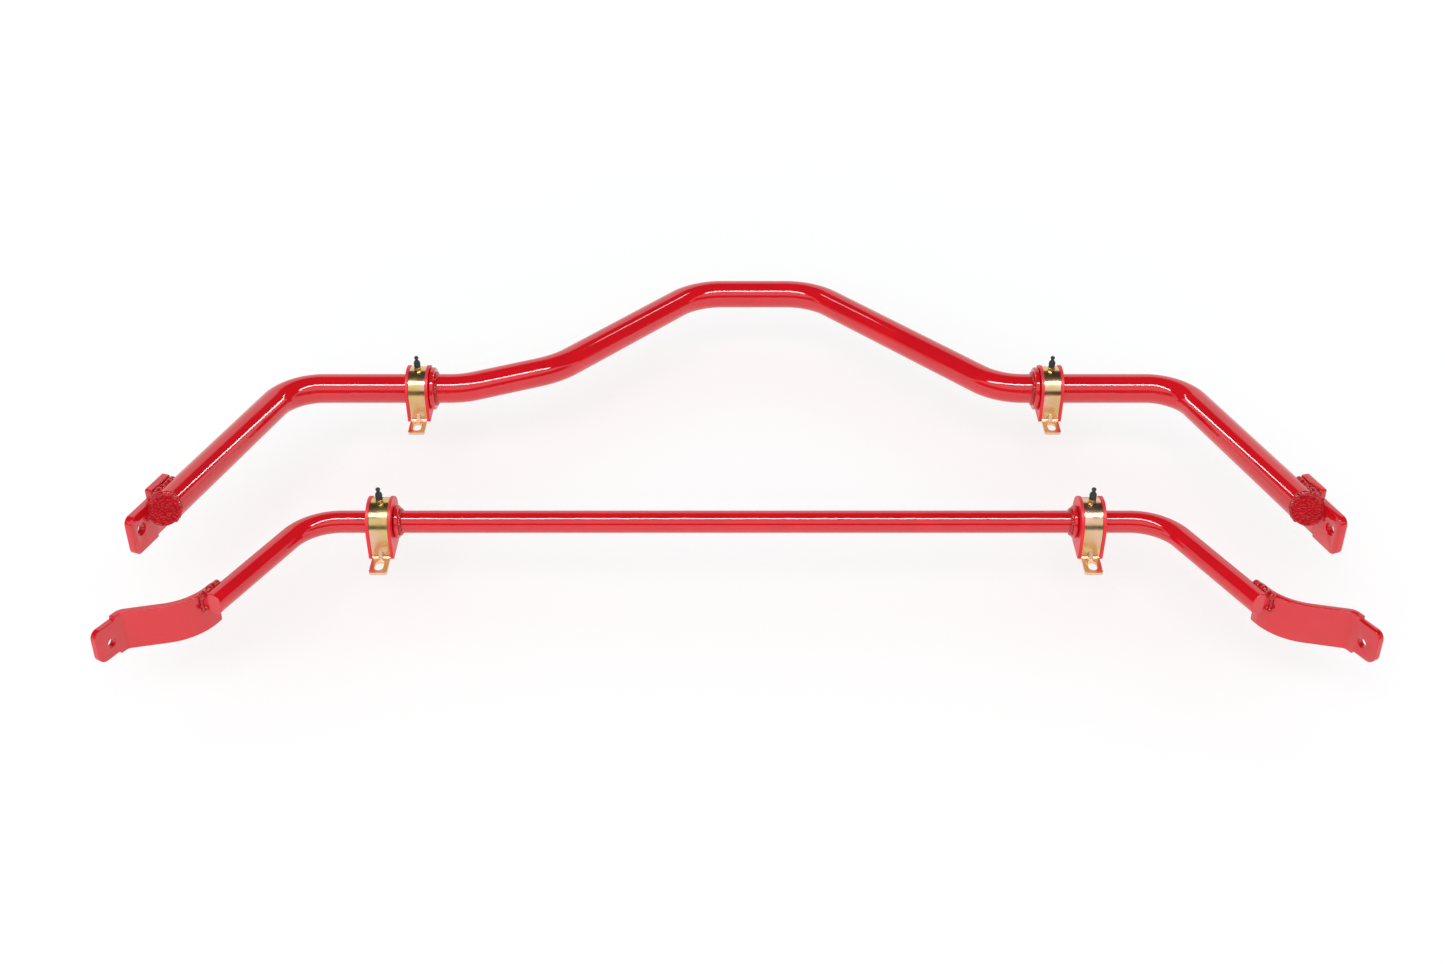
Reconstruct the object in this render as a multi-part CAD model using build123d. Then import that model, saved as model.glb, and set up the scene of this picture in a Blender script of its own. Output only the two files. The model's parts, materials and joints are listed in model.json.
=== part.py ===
from build123d import *
import math
import os

# A front and a rear sway bar, each turning in two bushings held by bolt-down straps.
# Millimetres, +Z up, +X to the right, arms pointing to -Y. The strap feet stand on z = 0.

# ---- placement of the two bars ----
AXIS_HEIGHT = 27.6          # journal axis above the chassis face
FRONT_Y = 93.99             # journal axis of the front bar
REAR_Y = FRONT_Y - 239.0    # journal axis of the rear bar
FRONT_TILT = 2.8            # arms raised by this much, degrees
REAR_TILT = 3.82

# ---- front bar: hollow tube ----
FRONT_R = 15.9
FRONT_WALL = 4.0
FRONT_CORNER = 484.0        # where the journal line meets the arm line
FRONT_ARM_ANGLE = 72.0      # arm against the journal line
FRONT_BEND_R = 50.0
HUMP_POINTS = [(-296.0, 0.0), (-196.5, 44.3), (-45.5, 223.5), (93.5, 223.5), (287.3, 0.0)]
HUMP_RADII = [70.0, 95.0, 70.0, 70.0, 62.0]
FRONT_TUBE_END = 244.5      # along the arm, from the corner to the cut end
FRONT_RING_X = 328.0
FRONT_RING = (23.2, 5.5)    # outer radius, width

# ---- front end plates, in (along the arm, height) ----
PLATE_T = 8.0
PLATE_OUTLINE = [(208, -36), (243, -36), (243, -38.5), (280, -38.5),
                 (280, 4.5), (240.5, 4.5), (240.5, 14.5), (208, 14.5)]
PLATE_RADII = [2.5, 0, 0, 8.0, 8.0, 2.0, 2.0, 2.0]
FRONT_HOLE = (265.5, -14.5, 6.5)    # along, height, radius
CAP_T = 3.0

# ---- rear bar: solid rod ----
REAR_R = 11.1
REAR_CORNER = 418.0
REAR_ARM_ANGLE = 65.4
REAR_BEND_R = 50.0
REAR_ROD_END = 150.0
REAR_RING_X = 331.8
REAR_RING = (16.3, 5.0)

# ---- rear arm plates: a flat strip bent twice ----
ARM_T = 6.5
ARM_TOP, ARM_BOTTOM = 6.0, -35.0
ARM_START = 129.0                   # along the arm
ARM_CORNERS = [(-498.0, -140.0), (-559.5, -154.6)]
ARM_BENDS = [52.0, 9.0]
FLANGE_DIR = (-0.47, -0.8827)
FLANGE_LENGTH = 35.0
FLANGE_TOP, FLANGE_BOTTOM = 3.0, -32.0
REAR_HOLE = (17.7, -17.5, 4.75)     # along the flange, height, radius

# ---- bushing, strap, grease fitting and dust cap ----
FIT_GAP = 0.05              # radial play of the bar in its bushing
BUSHING_R = 21.5            # crown radius under the strap
FLANGE_R = 25.6             # crown radius of the end flanges
STRAP_W = 18.0
FLANGE_T = 3.2
STRAP_T = 3.0
FOOT_REACH = 49.0
SLOT_Y = 38.0
SLOT = (14.0, 8.6)          # length, width
RING_GAP = 0.4              # between locating ring and bushing
STUD_R = 3.0
HEX_FLATS = 7.0
BALL_R = 1.2

STRAP_R = BUSHING_R + STRAP_T
CROWN_Z = AXIS_HEIGHT + STRAP_R
BUSHING_HALF = STRAP_W / 2 + FLANGE_T


def write(node, shape):
    shape.label = node
    export_step(shape, f"parts/{node}.step")


def both_sides(prefix, name, left):
    """Write a left-hand piece and its mirror image."""
    return {f"{prefix}_left_{name}": left, f"{prefix}_right_{name}": mirror(left, about=Plane.YZ)}


def rounded(points, radii):
    """A closed outline with its own radius at each corner."""
    face = make_face(Polyline(*points, close=True))
    for (x, y), r in zip(points, radii):
        if r > 0:
            corner = face.vertices().sort_by_distance((x, y, 0))[0]
            face = fillet(corner, r)
    return face


def arm_frame(corner_x, angle):
    """Direction and outward normal of the left arm in the bar's plane."""
    a = math.radians(angle)
    along = Vector(-math.cos(a), -math.sin(a), 0)
    outward = Vector(-math.sin(a), math.cos(a), 0)
    return Vector(-corner_x, 0, 0), along, outward


def ring(x, inner, outer, width):
    band = Plane.YZ.offset(-x) * Circle(outer)
    solid = extrude(band, width / 2, both=True)
    solid = fillet(solid.edges().filter_by(GeomType.CIRCLE), 1.8)
    return solid - Plane.YZ.offset(-x) * Cylinder(inner, width + 2)


def ring_weld(x, inner, rise):
    """A fillet weld on the inboard side of a locating ring."""
    profile = Plane.XY * Polyline((-x, inner), (-x + 4.2, inner), (-x + 2.6, inner + rise * 0.65),
                                  (-x, inner + rise), close=True)
    return revolve(make_face(profile), Axis.X, 360)


# ================= front bar =================
corner, along, outward = arm_frame(FRONT_CORNER, FRONT_ARM_ANGLE)
arm_far = 275.0
left_end = corner + along * arm_far
route = [(left_end.X, left_end.Y), (-FRONT_CORNER, 0), *HUMP_POINTS,
         (FRONT_CORNER, 0), (-left_end.X, left_end.Y)]
front_path = FilletPolyline(*route, radius=[FRONT_BEND_R, *HUMP_RADII, FRONT_BEND_R])
start = Plane(origin=left_end, z_dir=-along)
front_tube = sweep(start * Circle(FRONT_R), path=front_path)
front_core = sweep(start * Circle(FRONT_R - FRONT_WALL), path=front_path)

# the end is cut to face forward and slightly up, then closed by a disc
cut_normal = Vector(-0.003, -0.948, 0.318).normalized()
cut_point = corner + along * FRONT_TUBE_END
cut_left = Plane(origin=cut_point, z_dir=cut_normal)
cap_left = Plane(origin=cut_point + cut_normal * CAP_T, z_dir=cut_normal)


def mirrored_plane(plane):
    o, z = plane.origin, plane.z_dir
    return Plane(origin=(-o.X, o.Y, o.Z), z_dir=(-z.X, z.Y, z.Z))


def trim(shape, plane):
    """Keep what lies behind both ends' planes."""
    for p in (plane, mirrored_plane(plane)):
        shape = shape - p * Box(120, 120, 120, align=(Align.CENTER, Align.CENTER, Align.MIN))
    return shape


front_bar = trim(front_tube, cut_left) - front_core
arm_cylinder = Plane(origin=corner + along * 180, z_dir=along) * Cylinder(
    FRONT_R, 120, align=(Align.CENTER, Align.CENTER, Align.MIN))
slab = cut_left * Box(70, 70, CAP_T, align=(Align.CENTER, Align.CENTER, Align.MIN))
front_cap = arm_cylinder & slab

face_plane = Plane(origin=corner + outward * FRONT_R, x_dir=along, z_dir=outward)
front_plate = extrude(face_plane * rounded(PLATE_OUTLINE, PLATE_RADII), PLATE_T)
u, w, r = FRONT_HOLE
front_plate -= face_plane * Pos(u, w, PLATE_T / 2) * Cylinder(r, PLATE_T * 3)
front_plate = chamfer(front_plate.edges().filter_by(lambda e: e.geom_type == GeomType.LINE
                      and abs(e.tangent_at(0.5).dot(outward)) < 0.1 and e.length > 5), 0.6)

# welds in the grooves between tube and plate, and a bead round the cap's seam
section = Plane(origin=corner + along * 209.5, x_dir=outward, z_dir=-along)
R = FRONT_R
top_weld = [(R, 3.5), (R, 13.6), (12.4, 16.6), (6.5, 16.0), (6.0, 12.0), (12.0, 3.5)]
low_weld = [(R, -3.5), (R, -13.0), (12.0, -14.6), (8.0, -14.6), (7.0, -11.0), (12.0, -3.5)]
bead = extrude(section * make_face(Polyline(*top_weld, close=True)), -33)
bead += extrude(section * make_face(Polyline(*low_weld, close=True)), -33)
collar = Plane(origin=corner + along * 180, z_dir=along) * Cylinder(
    FRONT_R + 1.3, 120, align=(Align.CENTER, Align.CENTER, Align.MIN))
collar &= Plane(origin=cut_point - cut_normal * 2.2, z_dir=cut_normal) * Box(
    70, 70, 4.0, align=(Align.CENTER, Align.CENTER, Align.MIN))
collar -= section * Pos(21, 0, 0) * Box(20, 40, 200)
bead = bead - arm_cylinder - front_plate
front_weld = Compound(list(bead.solids())
                      + list((collar - arm_cylinder - front_plate - bead).solids()))

front = {"front_bar_tube": front_bar}
front |= both_sides("front", "end_plate", front_plate)
front |= both_sides("front", "end_cap", front_cap)
front |= both_sides("front", "end_weld", front_weld)
front |= both_sides("front", "ring", ring(FRONT_RING_X, FRONT_R, *FRONT_RING))
front |= both_sides("front", "ring_weld",
                    ring_weld(FRONT_RING_X - FRONT_RING[1] / 2, FRONT_R, 4.6))

# ================= rear bar =================
corner, along, outward = arm_frame(REAR_CORNER, REAR_ARM_ANGLE)
rod_end = corner + along * REAR_ROD_END
rear_path = FilletPolyline((rod_end.X, rod_end.Y), (-REAR_CORNER, 0), (REAR_CORNER, 0),
                           (-rod_end.X, rod_end.Y), radius=REAR_BEND_R)
rear_bar = sweep(Plane(origin=rod_end, z_dir=-along) * Circle(REAR_R), path=rear_path)

strip_start = corner + along * ARM_START + outward * (REAR_R + ARM_T / 2)
flange_dir = Vector(*FLANGE_DIR, 0).normalized()
bend_corner = Vector(*ARM_CORNERS[1], 0)
strip_end = bend_corner + flange_dir * 9.5
strip_path = FilletPolyline((strip_start.X, strip_start.Y), *ARM_CORNERS,
                            (strip_end.X, strip_end.Y), radius=ARM_BENDS)
heading = Vector(*ARM_CORNERS[0], 0) - strip_start
middle = (ARM_TOP + ARM_BOTTOM) / 2
strip_plane = Plane(origin=strip_start + Vector(0, 0, middle), x_dir=(0, 0, 1),
                    z_dir=heading.normalized())
strip_path = Pos(0, 0, middle) * strip_path
arm_plate = sweep(strip_plane * Rectangle(ARM_TOP - ARM_BOTTOM, ARM_T), path=strip_path)
flange_normal = Vector(flange_dir.Y, -flange_dir.X, 0)
flange_plane = Plane(origin=bend_corner - flange_normal * ARM_T / 2, x_dir=flange_dir,
                     z_dir=flange_normal)
up = 1 if flange_plane.y_dir.Z > 0 else -1
outline = [(8.5, up * FLANGE_BOTTOM), (FLANGE_LENGTH, up * FLANGE_BOTTOM),
           (FLANGE_LENGTH, up * FLANGE_TOP), (8.5, up * FLANGE_TOP)]
flange = extrude(flange_plane * rounded(outline, [0, 9.0, 8.0, 0]), ARM_T)
arm_plate += flange
s, w, r = REAR_HOLE
arm_plate -= flange_plane * Pos(s, up * w, ARM_T / 2) * Cylinder(r, ARM_T * 3)

# welds between rod and strip
rod_cylinder = Plane(origin=corner + along * 100, z_dir=along) * Cylinder(
    REAR_R, REAR_ROD_END - 100, align=(Align.CENTER, Align.CENTER, Align.MIN))
section = Plane(origin=corner + along * (ARM_START + 1.0), x_dir=outward, z_dir=-along)
R = REAR_R
top_weld = [(R - 4, 3.0), (R + 3.0, 3.0), (R + 3.6, 7.2), (R - 1.0, 11.6), (R - 6.0, 11.6)]
low_weld = [(R - 4, -3.0), (R + 2.5, -3.0), (R + 2.5, -8.5), (R - 2.0, -11.6), (R - 6.0, -11.4)]
bead = extrude(section * make_face(Polyline(*top_weld, close=True)), -22)
bead += extrude(section * make_face(Polyline(*low_weld, close=True)), -22)
toe = Plane(origin=corner, x_dir=along, z_dir=(0, 0, 1))
side = 1 if toe.y_dir.dot(outward) > 0 else -1
toe_face = make_face(Polyline((REAR_ROD_END, side * 2), (REAR_ROD_END + 4, side * 7),
                              (REAR_ROD_END + 6, side * 18), (REAR_ROD_END, side * 18), close=True))
bead += extrude(toe * toe_face, 9.0, both=True)
lead = heading.normalized()
behind_start = strip_start + outward * 20 + Vector(0, 0, middle)
behind = sweep(Plane(origin=behind_start, x_dir=(0, 0, 1), z_dir=lead) * Rectangle(90, 40 - ARM_T),
               path=Line(behind_start, behind_start + lead * 60))
rear_weld = bead - rod_cylinder - arm_plate - behind

rear = {"rear_bar_rod": rear_bar}
rear |= both_sides("rear", "arm_plate", arm_plate)
rear |= both_sides("rear", "arm_weld", rear_weld)
rear |= both_sides("rear", "ring", ring(REAR_RING_X, REAR_R, *REAR_RING))
rear |= both_sides("rear", "ring_weld", ring_weld(REAR_RING_X - REAR_RING[1] / 2, REAR_R, 3.4))


# ================= mount set =================
def d_face(radius, foot=0.0):
    """An arch of this radius over straight sides, standing on z = 0."""
    arch = Pos(0, AXIS_HEIGHT) * Circle(radius)
    legs = Pos(0, AXIS_HEIGHT / 2) * Rectangle(2 * radius, AXIS_HEIGHT)
    below = Pos(0, -100) * Rectangle(400, 200)
    face = arch + legs - below
    if foot:
        face = chamfer(face.vertices().group_by(Axis.Y)[0], foot)
    return face


def slab_x(face, width, x=0.0):
    return extrude(Plane.YZ.offset(x) * face, width / 2, both=True)


def revolved_z(points):
    """A solid of revolution about Z from (radius, height) points."""
    return revolve(make_face(Plane.XZ * Polyline(*points, close=True)), Axis.Z, 360)


def bushing(bar_r):
    body = slab_x(d_face(BUSHING_R), STRAP_W + 0.2)
    for sx in (-1, 1):
        body += slab_x(d_face(FLANGE_R, 2.6), FLANGE_T, sx * (BUSHING_HALF - FLANGE_T / 2))
    bore_r = bar_r + FIT_GAP
    bore = Plane.YZ * Pos(0, AXIS_HEIGHT) * Cylinder(bore_r, 80)
    body -= bore
    groove = Plane.YZ * Pos(0, AXIS_HEIGHT) * (Cylinder(bore_r + 1.0, 2.2) - Cylinder(bore_r - 0.5, 2.2))
    body -= groove
    for k in range(8):
        turn = Pos(0, 0, AXIS_HEIGHT) * Rot(45 * k + 22.5, 0, 0) * Pos(0, 0, bore_r + 0.2)
        body -= turn * Box(STRAP_W - 2, 2.0, 1.6)
    body -= Pos(0, 0, AXIS_HEIGHT / 2 - 5) * Box(60, 0.5, AXIS_HEIGHT + 10 - bar_r)
    body -= Pos(0, 0, CROWN_Z - 5.0) * Cylinder(STUD_R, 10, align=(Align.CENTER,) * 2 + (Align.MIN,))
    body -= Pos(0, 0, AXIS_HEIGHT + bar_r - 2) * Cylinder(1.2, 30, align=(Align.CENTER,) * 2 + (Align.MIN,))
    return body


def strap():
    body = slab_x(d_face(STRAP_R) - d_face(BUSHING_R), STRAP_W - 0.4)
    for sy in (-1, 1):
        length = FOOT_REACH - BUSHING_R
        foot = Box(STRAP_W - 0.4, length, STRAP_T, align=(Align.CENTER, Align.CENTER, Align.MIN))
        foot = fillet(foot.edges().filter_by(Axis.Z).group_by(Axis.Y)[-1 if sy > 0 else 0], 2.2)
        body += Pos(0, sy * (BUSHING_R + length / 2), 0) * foot
    bends = body.edges().filter_by(Axis.X).filter_by(
        lambda e: abs(abs(e.center().Y) - STRAP_R) < 0.01 and abs(e.center().Z - STRAP_T) < 0.01)
    body = fillet(bends, 2.5)
    for sy in (-1, 1):
        slot = SlotOverall(SLOT[0], SLOT[1])
        body -= Pos(0, sy * SLOT_Y, 0) * Rot(0, 0, 90) * extrude(slot, 10, both=True)
        rib = [(STRAP_R - 0.5, -0.5), (STRAP_R + 5.2, -0.5), (STRAP_R + 5.2, 0.4),
               (STRAP_R + 0.3, 9.0), (STRAP_R - 0.5, 9.0)]
        rib = make_face(Polyline(*[(sy * out, STRAP_T + up) for out, up in rib], close=True))
        body += slab_x(rib, 5.0)
    body -= Pos(0, 0, CROWN_Z) * Cylinder(STUD_R, 12)
    return body


def fitting():
    z = CROWN_Z
    body = revolved_z([(0, z - 5), (STUD_R, z - 5), (STUD_R, z), (0, z)])
    body += Pos(0, 0, z) * extrude(RegularPolygon(HEX_FLATS / math.sqrt(3), 6), 3.0)
    body += revolved_z([(0, z + 3), (2.9, z + 3), (2.2, z + 3.6), (1.9, z + 5.4), (2.6, z + 6.4),
                        (2.6, z + 8.2), (1.5, z + 10.4), (0, z + 10.4)])
    body -= revolved_z([(0, z - 6), (0.8, z - 6), (0.8, z + 3), (1.3, z + 3), (1.3, z + 9.8),
                        (0.9, z + 9.8), (0.9, z + 11), (0, z + 11)])
    return body


def check_ball():
    return Pos(0, 0, CROWN_Z + 9.8 - math.sqrt(BALL_R ** 2 - 0.9 ** 2) - 0.03) * Sphere(BALL_R)


def check_spring():
    wire, coil = 0.2, 1.0
    low, high = CROWN_Z + 3.0, CROWN_Z + 7.74
    spring = Helix(pitch=(high - low - 2 * wire) / 4, height=high - low - 2 * wire, radius=coil)
    spring = Pos(0, 0, low + wire) * spring
    return sweep(Plane(origin=spring @ 0, z_dir=spring % 0) * Circle(wire), path=spring, is_frenet=True)


def dust_cap():
    z = CROWN_Z
    body = revolved_z([(0, z + 3.7), (3.3, z + 3.7), (3.5, z + 4.4), (3.2, z + 5.4), (3.5, z + 6.6),
                       (3.6, z + 8.4), (3.2, z + 10.0), (1.7, z + 12.2), (1.6, z + 13.2), (2.3, z + 14.4),
                       (2.3, z + 15.6), (1.6, z + 16.5), (0, z + 16.5)])
    body -= revolved_z([(0, z + 3), (2.66, z + 3), (2.66, z + 8.3), (1.6, z + 10.5), (0, z + 10.5)])
    return body


mounts = {}
STATIONS = {
    "front_left": (-1, FRONT_RING_X, FRONT_RING[1], FRONT_Y, FRONT_R),
    "front_right": (1, FRONT_RING_X, FRONT_RING[1], FRONT_Y, FRONT_R),
    "rear_left": (-1, REAR_RING_X, REAR_RING[1], REAR_Y, REAR_R),
    "rear_right": (1, REAR_RING_X, REAR_RING[1], REAR_Y, REAR_R),
}
for station, (side, ring_x, ring_w, y, bar_r) in STATIONS.items():
    x = side * (ring_x + ring_w / 2 + RING_GAP + BUSHING_HALF)
    pieces = {"bushing": bushing(bar_r), "strap": strap(), "grease_fitting": fitting(),
              "check_ball": check_ball(), "check_spring": check_spring(), "dust_cap": dust_cap()}
    for name, shape in pieces.items():
        mounts[f"{station}_{name}"] = Pos(x, y, 0) * shape

# ================= place the bars and write every node =================
os.makedirs("parts", exist_ok=True)
for group, y, tilt in ((front, FRONT_Y, FRONT_TILT), (rear, REAR_Y, REAR_TILT)):
    for node, shape in group.items():
        write(node, Pos(0, y, AXIS_HEIGHT) * Rot(-tilt, 0, 0) * shape)
for node, shape in mounts.items():
    write(node, shape)
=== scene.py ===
import json
import math
import random

import bmesh
import bpy
from bpy.props import FloatProperty, FloatVectorProperty, PointerProperty
from mathutils import Matrix, Vector

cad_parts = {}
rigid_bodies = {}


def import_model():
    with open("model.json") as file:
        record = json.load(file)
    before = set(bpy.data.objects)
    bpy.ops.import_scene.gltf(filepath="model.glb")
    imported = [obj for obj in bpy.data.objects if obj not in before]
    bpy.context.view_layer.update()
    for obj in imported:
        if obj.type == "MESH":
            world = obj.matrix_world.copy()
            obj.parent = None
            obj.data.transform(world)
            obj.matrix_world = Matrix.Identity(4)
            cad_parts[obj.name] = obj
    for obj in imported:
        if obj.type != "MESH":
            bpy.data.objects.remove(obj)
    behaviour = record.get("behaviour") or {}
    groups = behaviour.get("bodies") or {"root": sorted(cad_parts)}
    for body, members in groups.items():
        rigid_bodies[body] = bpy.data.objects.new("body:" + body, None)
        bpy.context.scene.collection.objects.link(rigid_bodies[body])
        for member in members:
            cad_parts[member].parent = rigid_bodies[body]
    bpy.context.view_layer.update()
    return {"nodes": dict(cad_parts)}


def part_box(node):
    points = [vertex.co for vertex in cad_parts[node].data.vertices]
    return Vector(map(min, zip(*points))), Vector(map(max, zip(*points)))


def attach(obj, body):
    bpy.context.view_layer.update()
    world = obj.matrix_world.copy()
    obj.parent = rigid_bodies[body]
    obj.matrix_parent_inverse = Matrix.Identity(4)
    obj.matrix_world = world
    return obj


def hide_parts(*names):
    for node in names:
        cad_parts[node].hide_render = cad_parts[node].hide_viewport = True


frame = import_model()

bl_info = {
    "name": "Sway Bar Set",
    "version": (1, 0, 0),
    "blender": (4, 5, 0),
    "location": "View3D > Sidebar > Sway Bars",
    "description": "Builds a front and a rear sway bar, their bushings and straps",
    "category": "Object",
}

MM = 0.001
STATIONS = ("front_left", "front_right", "rear_left", "rear_right")
AXIS_HEIGHT = 27.6 * MM
MIRROR_X = Matrix.Diagonal((-1, 1, 1, 1))
SHARP = 40                                  # degrees; a sharper edge stays an edge
FINE_WEIGHT = 0.25                          # rounding of a hole's rim against 1 elsewhere
ALONG_X = (0, math.pi / 2, 0)               # turns a shape about Z into one about X
X_AXIS, Z_AXIS = (1, 0, 0), (0, 0, 1)

# Shapes in millimetres and degrees. Each bar is drawn in its own plane, z = 0.
FRONT_CORNER, FRONT_ARM_ANGLE, FRONT_TILT = 484.0, 72.0, 2.8
REAR_CORNER, REAR_ARM_ANGLE, REAR_TILT = 418.0, 65.4, 3.82
ARM_BEND_R = 50
HUMP = ((-296, 0), (-196.5, 44.3), (-45.5, 223.5), (93.5, 223.5), (287.3, 0))
HUMP_RADII = (70, 95, 70, 70, 62)
TUBE_END, TUBE_SPARE = 244.5, 275           # along the arm; the spare part is cut off
CAP_T = 3.0
PLATE_HOLE = (265.5, -14.5)                 # along the arm, up
ROD_END, ARM_START = 150, 129               # along the arm
ARM_CORNERS = ((-498, -140), (-559.5, -154.6))
ARM_BENDS = (52, 9)
ARM_HEIGHT, ARM_MIDDLE = 41, -14.5
FLANGE_DIR = (-0.47, -0.8827, 0)
FLANGE_LENGTH, FLANGE_STEP = 35, 3
FLANGE_HOLE = (17.7, -17.5)                 # along the flange, up
RINGS = {"front": (328.0, 23.2, 5.5),       # from the middle, outside radius, width
         "rear": (331.8, 16.3, 5.0)}
FOOT_REACH, SLOT_Y = 49, 38
FITTING = [(2.0, -5.0), (2.9, -4.4), (2.9, 1.0), (2.9, 3.2), (2.2, 3.8), (1.9, 4.4),
           (1.9, 5.4), (2.6, 6.3), (2.6, 8.2), (2.2, 9.2), (1.5, 10.4), (0.9, 10.4),
           (0.9, 9.7)]                      # radius, height over the strap
DUST_CAP = [(0.4, 10.5), (1.6, 10.5), (2.66, 8.3), (2.66, 3.8), (3.3, 3.7), (3.5, 4.0),
            (3.5, 4.8), (3.2, 5.4), (3.4, 6.2), (3.6, 7.4), (3.6, 8.4), (3.4, 9.4),
            (2.8, 10.6), (1.9, 11.8), (1.6, 12.6), (1.6, 13.2), (2.1, 13.9), (2.3, 14.5),
            (2.3, 15.4), (2.0, 16.1), (1.4, 16.5), (0.4, 16.5)]


# ---------------------------------------------------------------- settings
def number(name, description, value, **more):
    return FloatProperty(name=name, description=description, default=value, **more)


def length(name, description, value):
    return number(name, description, value * MM, min=0.0, unit="LENGTH", precision=5)


def colour(name, description, value):
    return FloatVectorProperty(name=name, description=description, default=value,
                               size=3, min=0.0, max=1.0, subtype="COLOR")


class BarSizes(bpy.types.PropertyGroup):
    """Diameters and thicknesses of the two bars"""
    front_radius: length("Front tube radius", "Outside radius of the front tube", 15.9)
    front_wall: length("Front tube wall", "Wall thickness of the front tube", 4.0)
    rear_radius: length("Rear rod radius", "Radius of the solid rear rod", 11.1)
    plate_thickness: length("End plate thickness", "Thickness of the front end plates", 8.0)
    arm_thickness: length("Arm plate thickness", "Thickness of the rear arm plates", 6.5)
    plate_hole: length("End plate hole radius", "Link hole in a front end plate", 6.5)
    arm_hole: length("Arm plate hole radius", "Link hole in a rear arm plate", 4.75)


class MountSizes(bpy.types.PropertyGroup):
    """Sizes of a bushing, its strap and its grease fitting"""
    crown_radius: length("Bushing crown radius", "Arch of the bushing under its strap", 21.5)
    flange_radius: length("Bushing flange radius", "Arch of the bushing's end flanges", 25.6)
    strap_width: length("Strap width", "Width of the strap along the bar", 17.6)
    strap_thickness: length("Strap thickness", "Sheet thickness of the strap", 3.0)
    slot_length: length("Slot length", "Overall length of a foot slot", 14.0)
    slot_width: length("Slot width", "Width of a foot slot", 8.6)


class Finishes(bpy.types.PropertyGroup):
    """Colours of the finishes"""
    coat: colour("Powder coat", "Red powder coat on both bars", (0.66, 0.004, 0.012))
    bushing: colour("Bushing", "Red moulded polyurethane", (0.80, 0.012, 0.026))
    gold: colour("Zinc gold", "Main tone of the yellow zinc", (0.68, 0.47, 0.19))
    peach: colour("Zinc peach", "Warm tone of the yellow zinc", (0.80, 0.50, 0.38))
    olive: colour("Zinc olive", "Green tone of the yellow zinc", (0.42, 0.37, 0.13))
    steel: colour("Steel", "Ground steel of the check balls and springs", (0.56, 0.57, 0.60))
    rubber: colour("Dust cap", "Black rubber of the dust caps", (0.012, 0.020, 0.021))
    floor: colour("Floor", "Pale studio floor", (0.59, 0.60, 0.60))


class StageSettings(bpy.types.PropertyGroup):
    """Camera, lights and floor"""
    eye: FloatVectorProperty(name="Camera place", description="Where the camera stands",
                             default=(-0.013, -1.5087, 1.074), size=3, subtype="TRANSLATION")
    pitch: number("Camera pitch", "How far the camera looks down", math.radians(36.2),
                  subtype="ANGLE")
    lens: number("Lens", "Focal length in millimetres", 43.6)
    floor_drop: length("Floor drop", "Floor below the strap feet, clear of the arms", 80.0)
    floor_glow: number("Floor glow", "Light that the floor gives off", 0.435)
    strip_power: number("Strip light", "Power of the overhead strip", 26.0, subtype="POWER")
    room_light: number("Room light", "White walls seen in the gloss", 1.0)
    soft_light: number("Soft light", "Even light from all sides", 0.76)
    key_power: number("Key light", "Power of the large soft key", 125.0, subtype="POWER")


# ---------------------------------------------------------------- modelling helpers
def leave_edit():
    if bpy.context.object and bpy.context.object.mode != "OBJECT":
        bpy.ops.object.mode_set(mode="OBJECT")


def only(obj):
    """Make this the one selected and active object."""
    leave_edit()
    bpy.ops.object.select_all(action="DESELECT")
    obj.select_set(True)
    bpy.context.view_layer.objects.active = obj


def primitive(kind, matrix=None, **values):
    """Add a primitive in the current object, or a new one with its place in its mesh."""
    adding = bpy.context.object is not None and bpy.context.object.mode == "EDIT"
    if not adding:
        bpy.ops.object.select_all(action="DESELECT")
    getattr(bpy.ops.mesh, f"primitive_{kind}_add")(**values)
    obj = bpy.context.object
    if not adding:
        bpy.ops.object.transform_apply(location=True, rotation=True, scale=True)
        if matrix is not None:
            obj.data.transform(matrix)
    return obj


def edit(obj):
    only(obj)
    bpy.ops.object.mode_set(mode="EDIT")
    bpy.ops.mesh.select_mode(type="VERT")


def pick(test):
    """In edit mode, select the vertices whose place passes the test."""
    obj = bpy.context.object
    mesh = bmesh.from_edit_mesh(obj.data)
    for group in (mesh.faces, mesh.edges, mesh.verts):
        for item in group:
            item.select = False
    mesh.select_history.clear()
    found = 0
    for vert in mesh.verts:
        if test(vert.co):
            vert.select = True
            found += 1
    mesh.select_flush(True)
    bmesh.update_edit_mesh(obj.data)
    if not found:
        raise RuntimeError(f"nothing to pick on {obj.name}")


def pick_all():
    bpy.ops.mesh.select_all(action="SELECT")


def pull(vector):
    """Extrude what is selected along a vector."""
    bpy.ops.mesh.extrude_region_move(TRANSFORM_OT_translate={"value": tuple(vector)})


def shift(vector):
    bpy.ops.transform.translate(value=tuple(vector))


def scale(value, centre):
    bpy.ops.transform.resize(value=value, center_override=tuple(centre))


def sweep_round(centre, turn, axis, steps):
    """Spin the selection by a turn, counter-clockwise about the axis."""
    bpy.ops.mesh.spin(steps=steps, angle=-turn, center=tuple(centre), axis=axis)


def close_up(merge=0.002 * MM):
    """Merge doubles and turn every face outwards."""
    pick_all()
    bpy.ops.mesh.remove_doubles(threshold=merge)
    pick_all()
    bpy.ops.mesh.normals_make_consistent(inside=False)


def span(centre, extent):
    """Matrix that sets a unit shape at a centre and stretches it to an extent."""
    return Matrix.Translation(centre) @ Matrix.Diagonal((*extent, 1))


def round_corners(test, radius, segments):
    """In edit mode, round the corners that pass the test by millimetres."""
    pick(test)
    bpy.ops.mesh.bevel(offset=radius * MM, affect="VERTICES", segments=segments)


def modify(obj, kind, **values):
    """Add a modifier and apply it."""
    only(obj)
    modifier = obj.modifiers.new(kind.title(), kind)
    for key, value in values.items():
        setattr(modifier, key, value)
    bpy.ops.object.modifier_apply(modifier=modifier.name)


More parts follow.
